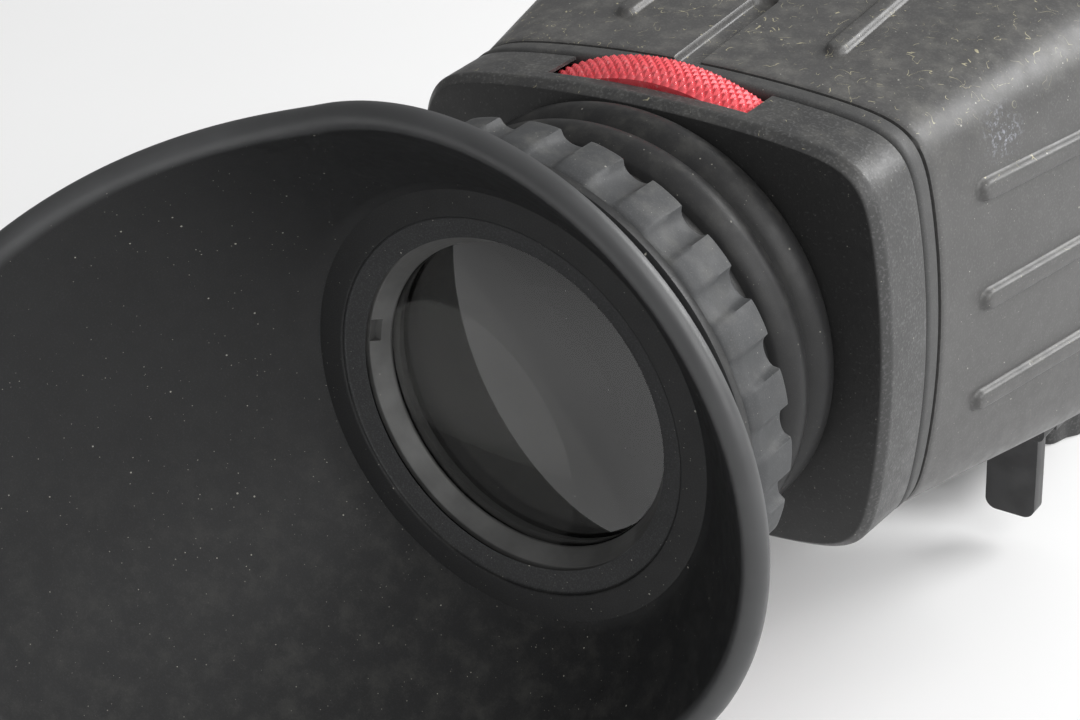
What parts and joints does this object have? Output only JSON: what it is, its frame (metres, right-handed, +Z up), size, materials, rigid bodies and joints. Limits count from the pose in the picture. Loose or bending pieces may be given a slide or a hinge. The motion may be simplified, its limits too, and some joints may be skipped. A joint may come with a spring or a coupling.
{
  "type": "camera screen viewfinder loupe",
  "caption": "Magnifying viewing hood for a camera screen: winged rubber eyecup, bellows, focusing lens with a red knurled wheel, flaring flip-up hood and an under-camera bracket.",
  "frame": {"origin": "on the camera seat, the top of the pad that the camera stands on, on its centre line 7.5 mm behind its front edge", "axes": "+Y along the optical axis from the eye to the camera screen, +Z up out of the seat, +X to the user's right"},
  "size_m": [0.107, 0.1942, 0.1038],
  "materials": {
    "soft_rubber": "matte moulded",
    "grip_rubber": "matte, slightly worn",
    "black_plastic": "fine texture",
    "hood_plastic": "satin",
    "red_anodised": "knurled, anodised",
    "black_metal": "black anodised",
    "steel": "turned",
    "brass": "turned",
    "foam": "closed-cell foam",
    "lens_glass": "coated, polished"
  },
  "bodies": {
    "bracket": {"camera_bracket": "black_metal", "camera_pad": "soft_rubber", "guide_block": "black_metal", "guide_screw_1": "steel", "guide_screw_2": "steel"},
    "screw_slider": {"camera_screw_clip": "steel"},
    "camera_screw": {"camera_screw": "steel", "camera_knob": "black_plastic"},
    "height_knob": {"height_knob": "black_plastic", "height_stud": "steel"},
    "frame": {"screen_frame": "black_plastic", "screen_gasket": "foam", "hinge_pin": "steel", "height_yoke": "black_metal", "yoke_screw_1": "steel", "yoke_screw_2": "steel", "frame_keeper_left": "steel", "frame_keeper_right": "steel"},
    "hood": {"hood_shell": "hood_plastic", "hood_foot_left": "soft_rubber", "hood_foot_right": "soft_rubber", "hood_rear_frame": "black_plastic", "frame_screw_1": "steel", "frame_screw_2": "steel", "frame_screw_3": "steel", "frame_screw_4": "steel", "hood_magnet_left": "steel", "hood_magnet_right": "steel", "seam_bead": "grip_rubber", "housing_cap": "black_plastic", "cap_screw_1": "steel", "cap_screw_2": "steel", "cap_screw_3": "steel", "cap_screw_4": "steel", "wheel_retainer": "black_metal", "guide_key_1": "steel", "guide_key_2": "steel", "guide_key_3": "steel", "wave_washer": "steel", "bellows": "soft_rubber"},
    "wheel": {"diopter_wheel": "red_anodised", "focus_nut": "brass"},
    "eyepiece": {"lens_barrel": "black_metal", "lens_front": "lens_glass", "lens_rear": "lens_glass", "lens_spacer": "black_metal", "retaining_ring": "black_metal", "barrel_stop_ring": "black_metal"},
    "eyecup": {"eyecup": "soft_rubber", "eyecup_collar": "grip_rubber"}
  },
  "joints": [
    {"name": "height_slide", "type": "slide", "parent": "bracket", "child": "frame", "axis": [0, 0, 1], "range_m": [0, 0.008]},
    {"name": "flip_hinge", "type": "hinge", "parent": "frame", "child": "hood", "pos_m": [0, -0.0188, 0.0869], "axis": [-1, 0, 0], "range_deg": [0, 100]},
    {"name": "wheel_turn", "type": "hinge", "parent": "hood", "child": "wheel", "pos_m": [0, -0.076, 0.0495], "axis": [0, 1, 0], "range_deg": [-60, 90]},
    {"name": "eyepiece_slide", "type": "slide", "parent": "hood", "child": "eyepiece", "axis": [0, 1, 0], "range_m": [-0.0041, 0.0061], "deforming": ["bellows"]},
    {"name": "eyecup_turn", "type": "hinge", "parent": "eyepiece", "child": "eyecup", "pos_m": [0, -0.106, 0.0495], "axis": [0, 1, 0], "continuous": true},
    {"name": "screw_slide", "type": "slide", "parent": "bracket", "child": "screw_slider", "axis": [1, 0, 0], "range_m": [-0.024, 0]},
    {"name": "screw_turn", "type": "hinge", "parent": "screw_slider", "child": "camera_screw", "pos_m": [0.012, 0.017, -0.0005], "axis": [0, 0, 1], "continuous": true},
    {"name": "height_knob_turn", "type": "hinge", "parent": "bracket", "child": "height_knob", "pos_m": [0, -0.026, 0.0029], "axis": [0, 1, 0], "continuous": true}
  ],
  "couplings": [
    {"joint": "eyepiece_slide", "follows": "wheel_turn", "m_per_rad": 0.0038197}
  ]
}
